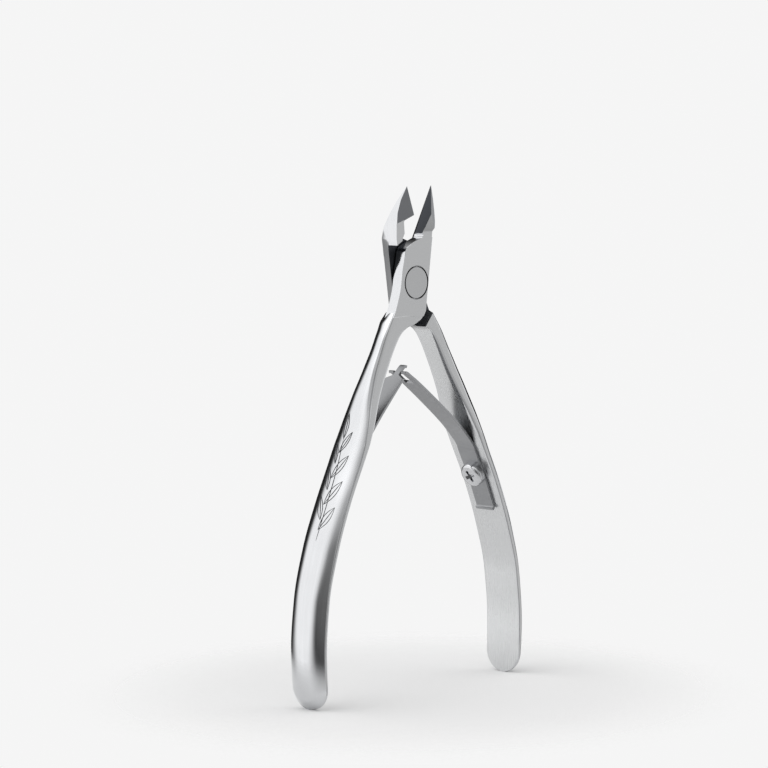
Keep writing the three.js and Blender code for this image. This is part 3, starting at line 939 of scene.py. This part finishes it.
def steel(name, dark, light, rough, grain_mm, stretch, bump):
    """Ground or polished steel.
    dark, light: the two tones that the grain runs between; rough: lowest and highest
    roughness; grain_mm: width of a grinding line; stretch: how many times longer a line is
    than wide, along X, Y and Z; bump: depth of the lines in mm."""
    material = new_material(name)
    tree = material.node_tree
    place = add_node(tree, "TexCoord").outputs["Object"]
    lines = add_node(tree, "Mapping", {"Scale": tuple(1 / s for s in stretch)},
                     {"Vector": place})
    grain = add_node(tree, "TexNoise",
                     {"Scale": 1 / (grain_mm * MM), "Detail": 3.0, "Roughness": 0.6},
                     {"Vector": lines.outputs["Vector"]})
    cloud = add_node(tree, "TexNoise", {"Scale": 1 / (CLOUD_MM * MM), "Detail": 2.0},
                     {"Vector": place})
    part = add_node(tree, "Math", {"operation": "MULTIPLY", 1: 1 - GRAIN_SHARE},
                    {0: cloud.outputs["Fac"]})
    mixed = add_node(tree, "Math", {"operation": "MULTIPLY_ADD", 1: GRAIN_SHARE},
                     {0: grain.outputs["Fac"], 2: part.outputs[0]})
    tone = add_node(tree, "Mix", {"data_type": "RGBA"}, {"Factor": mixed.outputs[0]})
    tone.inputs[6].default_value = linear(dark)
    tone.inputs[7].default_value = linear(light)
    roughness = add_node(tree, "MapRange",
                         {"From Min": NOISE_SPAN[0], "From Max": NOISE_SPAN[1],
                          "To Min": rough[0], "To Max": rough[1]}, {"Value": mixed.outputs[0]})
    relief = add_node(tree, "Bump", {"Strength": 0.5, "Distance": bump * MM},
                      {"Height": grain.outputs["Fac"]})
    shader = add_node(tree, "BsdfPrincipled", {"Metallic": 1.0},
                      {"Base Color": tone.outputs[2], "Roughness": roughness.outputs[0],
                       "Normal": relief.outputs["Normal"]})
    add_node(tree, "OutputMaterial", links={"Surface": shader.outputs["BSDF"]})
    return material


print("steel builder is ready")

# %% [markdown]
# ## The finishes
# - Mirror polish on the domed backs and the plates' sides: very low roughness, with a trace of
#   the mop's lines along the handle. The lines differ across the width only, so they
#   run along the handle however it curves.
# - Satin grind on the cheeks: fine lines across, and a soft even sheen.
# - Brushed inner faces of the handles: a little shinier and paler than the cheeks.
# - Wheel-ground jaw bevel: a darker grain; the walls that the other lever swings towards take
#   it too, partly as painted shade. The relief behind the cutting edge and the lap faces are
#   painted near black: painted shade.
# - Rolled spring steel, darker, with mill lines along the strip.
# - Turned and polished screws, and a ground pivot head like the cheek around it.
# - A dull dark oxide on the laser's lines, which makes them readable on the mirror.
# Real polishing lines are a few micrometres wide; they are drawn coarser so that they show.

# %% Materials
# name, two tones, lowest and highest roughness, width of a line in mm, stretch, depth in mm
mirror, satin, inner_satin, painted_shade_steel, bevel_grind_and_wall_shade, spring, turned, ground_pin, laser_grey = (
    steel(*numbers) for numbers in (
        ("mirror_polished_stainless", "C6C7C9", "DCDDDF", (0.09, 0.15), 0.35, (12, 1, 60), 0.0006),
        ("satin_ground_stainless", "B4B5B6", "C4C5C6", (0.34, 0.42), 0.14, (14, 14, 1), 0.002),
        ("inner_face_brushed_stainless", "CECFD0", "D7D8D9", (0.24, 0.32), 0.12, (60, 1, 80),
         0.0003),
        # painted shade: a near-black ground steel for the jaw relief and the lap faces
        ("painted_shade_ground_steel", "3A3C40", "4A4C50", (0.36, 0.46), 0.10, (10, 10, 1), 0.002),
        # the ground bevel's grey, also used on the walls, where it is partly painted shade
        ("wheel_ground_bevel_and_wall_shade", "94969A", "A4A6A9", (0.32, 0.42), 0.10, (1, 12, 12), 0.002),
        ("rolled_spring_steel", "8A8B8D", "A2A3A5", (0.26, 0.36), 0.16, (40, 1, 40), 0.0015),
        ("turned_polished_screw_steel", "C2C3C5", "D6D7D9", (0.12, 0.2), 0.2, (1, 1, 1), 0.001),
        ("ground_pivot_steel", "ABACAD", "BCBDBE", (0.34, 0.42), 0.14, (14, 14, 1), 0.002),
        ("laser_darkened_line_oxide", "4A4B4D", "6C6D6F", (0.5, 0.65), 0.05, (1, 1, 1), 0.001),
    ))
decoration.data.materials.append(laser_grey)
rivet.data.materials.append(ground_pin)
for piece in (left_leaf, right_leaf):
    piece.data.materials.append(spring)
for piece in screws.values():
    piece.data.materials.append(turned)
print("materials:", [material.name for material in bpy.data.materials])

# %% [markdown]
# ## Which finish goes where on a lever
# A forging is ground in several set-ups, and each leaves its own finish. Every face of a lever
# is sorted by its direction and its place: the flat cheek, the flat inside of the handle, the
# bevel of the jaw, the walls that the other lever swings towards, which no polishing mop can
# reach and which take the bevel's darker grey partly as painted shade, the jaw's relief and the
# lap face, which are painted near black as shade, and everything else, which is polished.

# %% Sort the levers' faces
# the fourth finish is the ground bevel's grey, which on the walls is partly painted shade; the
# fifth is a near-black painted shade for the lap faces and the jaw relief
FINISHES = [mirror, satin, inner_satin, bevel_grind_and_wall_shade, painted_shade_steel]
MIRROR, SATIN, INNER, GRIND_AND_WALL_SHADE, PAINTED_SHADE = range(len(FINISHES))
JAW_LOW = 11.6           # the jaw's ground flats start above this
CHEEK_TOP, CHEEK_LOW = 9, -9   # the jaw's root is above, and the handle below
WALL_SLACK = 0.12        # how far a face's middle may lie from the wall that it is part of
LAP_SLACK = 0.02
# least part of a face's direction that must point the right way
FLAT, FRONTAL, BEVELLED, RELIEVED, INWARD = 0.97, 0.5, 0.985, 0.75, 0.4
SLANT_UP, SLANT_ALONG = 0.5, 0.6
# and the most that may point along the pivot
WALL_TILT, INSIDE_TILT = 0.3, 0.2


def is_shaded_wall(middle, normal, handle_side):
    """True on the walls that the other lever swings towards; these take a darker grey, partly as
    painted shade.
    """
    if abs(normal.y) > WALL_TILT:
        return False
    inward = Vector((-middle.x, 0, -middle.z))
    if abs(inward.length - SHOULDER_WALL) < WALL_SLACK and inward.dot(normal) > 0:
        return True
    (x0, z0), (x1, z1) = SHOULDER[:2]
    slant = Vector((z1 - z0, x1 - x0)).normalized()
    offset = slant.dot(Vector((x0 + handle_side * middle.x, middle.z - z0)))
    return (abs(offset) < WALL_SLACK and normal.z > SLANT_UP
            and -handle_side * normal.x > SLANT_ALONG)


def bevel_normal(side):
    """The direction that the bevel of one jaw faces, outward."""
    tip, heel, corner = (Vector((side * x, y, z)) for x, y, z in (TIP, HEEL, CORNER_POINT))
    normal = (heel - tip).cross(corner - tip).normalized()
    return normal if normal.dot(Vector((side, -1, 0))) > 0 else -normal


def sort_faces(lever, jaw_side, handle_side):
    """The sides are 1 on the right and -1 on the left; a lever's jaw and handle differ."""
    for finish in FINISHES:
        lever.data.materials.append(finish)
    bevel = bevel_normal(jaw_side)
    for face in lever.data.polygons:
        middle = (face.center - PIVOT) / MM
        normal = face.normal
        kind = MIRROR
        if abs(abs(middle.y) - LAP_FACE) < LAP_SLACK:
            # the lap face between the levers: painted shade, near black
            kind = PAINTED_SHADE
        elif is_shaded_wall(middle, normal, handle_side):
            # walls that the other lever swings towards: the bevel's grey, partly painted shade
            kind = GRIND_AND_WALL_SHADE
        elif middle.z > JAW_LOW and normal.dot(bevel) > BEVELLED:
            kind = GRIND_AND_WALL_SHADE
        elif middle.z > JAW_LOW and normal.x * -jaw_side > RELIEVED:
            # the jaw's relief, facing the other jaw: painted shade, near black
            kind = PAINTED_SHADE
        elif abs(normal.y) > FLAT or (middle.z > CHEEK_TOP and normal.y < -FRONTAL):
            kind = SATIN
        elif (middle.z < CHEEK_LOW and normal.x * -handle_side > INWARD
              and abs(normal.y) < INSIDE_TILT):
            kind = INNER
        face.material_index = kind


sort_faces(front_lever, 1, -1)
sort_faces(back_lever, -1, 1)
print("levers carry", len(FINISHES), "finishes each")

# %% [markdown]
# ## Floor and light
# The tool stands on a plain pale sheet. The light is one large soft surround, bright where
# the white boards of a small product tent would be and greyer where it opens, because
# polished steel looks like steel only when it has both light and dark to mirror.

# %% Floor
FLOOR_RADIUS = 0.085      # in metres, like everything from here on
FLOOR_SOLID = 0.042       # beyond this the sheet fades into the backdrop
FLOOR_TONE = "F2F2F2"


def matt_paper():
    """Plain pale paper without gloss, which fades out towards the rim of the floor."""
    paper = new_material("pale_matt_paper")
    tree = paper.node_tree
    place = add_node(tree, "TexCoord").outputs["Object"]
    away = add_node(tree, "VectorMath", {"operation": "LENGTH"}, {0: place})
    fade = add_node(tree, "MapRange",
                    {"interpolation_type": "SMOOTHSTEP", "From Min": FLOOR_SOLID,
                     "From Max": FLOOR_RADIUS, "To Min": 1.0, "To Max": 0.0},
                    {"Value": away.outputs["Value"]})
    shader = add_node(tree, "BsdfPrincipled",
                      {"Base Color": linear(FLOOR_TONE), "Roughness": 0.9,
                       "Specular IOR Level": 0.0}, {"Alpha": fade.outputs[0]})
    add_node(tree, "OutputMaterial", links={"Surface": shader.outputs["BSDF"]})
    return paper


deselect()
bpy.ops.mesh.primitive_circle_add(vertices=96, radius=FLOOR_RADIUS, fill_type="NGON")
floor = bpy.context.object
floor.name = "floor"
floor.data.materials.append(matt_paper())
print("floor laid")

# %% Surround light
BACKDROP = 0.915         # what the camera sees behind the tool
SURROUND = 0.42          # the light where there is neither a board nor an opening
# direction from +X towards +Y, height above level, full strength within this and nothing
# beyond this, all in degrees; then the strength, which a board adds and an opening takes off
BOARDS = [
    (148, 18, 30, 58, 0.85),
    (0, 90, 30, 62, 0.70),
    (318, 0, 22, 46, 0.55),
    (22, 0, 8, 24, 0.28),
    (100, -46, 14, 34, 0.45),
    (225, 25, 14, 40, 0.10),
]
OPENINGS = [
    (60, 12, 22, 46, -0.40),
    (216, -2, 12, 30, -0.34),
    (287, -3, 12, 26, -0.36),
]


def direction(turn, height):
    """A unit vector from two angles in degrees."""
    turn, height = math.radians(turn), math.radians(height)
    return (math.cos(turn) * math.cos(height), math.sin(turn) * math.cos(height),
            math.sin(height))


def surround_light():
    """One world shader: every board and opening is a soft round patch on the sky."""
    world = bpy.data.worlds.new("surround")
    bpy.context.scene.world = world
    world.use_nodes = True
    tree = world.node_tree
    tree.nodes.clear()
    towards = add_node(tree, "TexCoord").outputs["Generated"]
    total = add_node(tree, "Value")
    total.outputs[0].default_value = SURROUND
    total = total.outputs[0]
    for turn, height, core, reach, strength in BOARDS + OPENINGS:
        aim = add_node(tree, "VectorMath",
                       {"operation": "DOT_PRODUCT", 1: direction(turn, height)}, {0: towards})
        patch = add_node(tree, "MapRange",
                         {"interpolation_type": "SMOOTHSTEP",
                          "From Min": math.cos(math.radians(reach)),
                          "From Max": math.cos(math.radians(core)),
                          "To Min": 0.0, "To Max": strength}, {"Value": aim.outputs["Value"]})
        total = add_node(tree, "Math", {"operation": "ADD"},
                         {0: total, 1: patch.outputs[0]}).outputs[0]
    seen = add_node(tree, "LightPath").outputs["Is Camera Ray"]
    strength = add_node(tree, "Mix", {"data_type": "FLOAT", 3: BACKDROP},
                        {"Factor": seen, 2: total})
    shade = add_node(tree, "Background", {"Color": (1, 1, 1, 1)},
                     {"Strength": strength.outputs[0]})
    add_node(tree, "OutputWorld", links={"Surface": shade.outputs["Background"]})


surround_light()
bpy.context.scene.view_settings.view_transform = "Standard"
print("surround has", len(BOARDS), "boards and", len(OPENINGS), "openings")
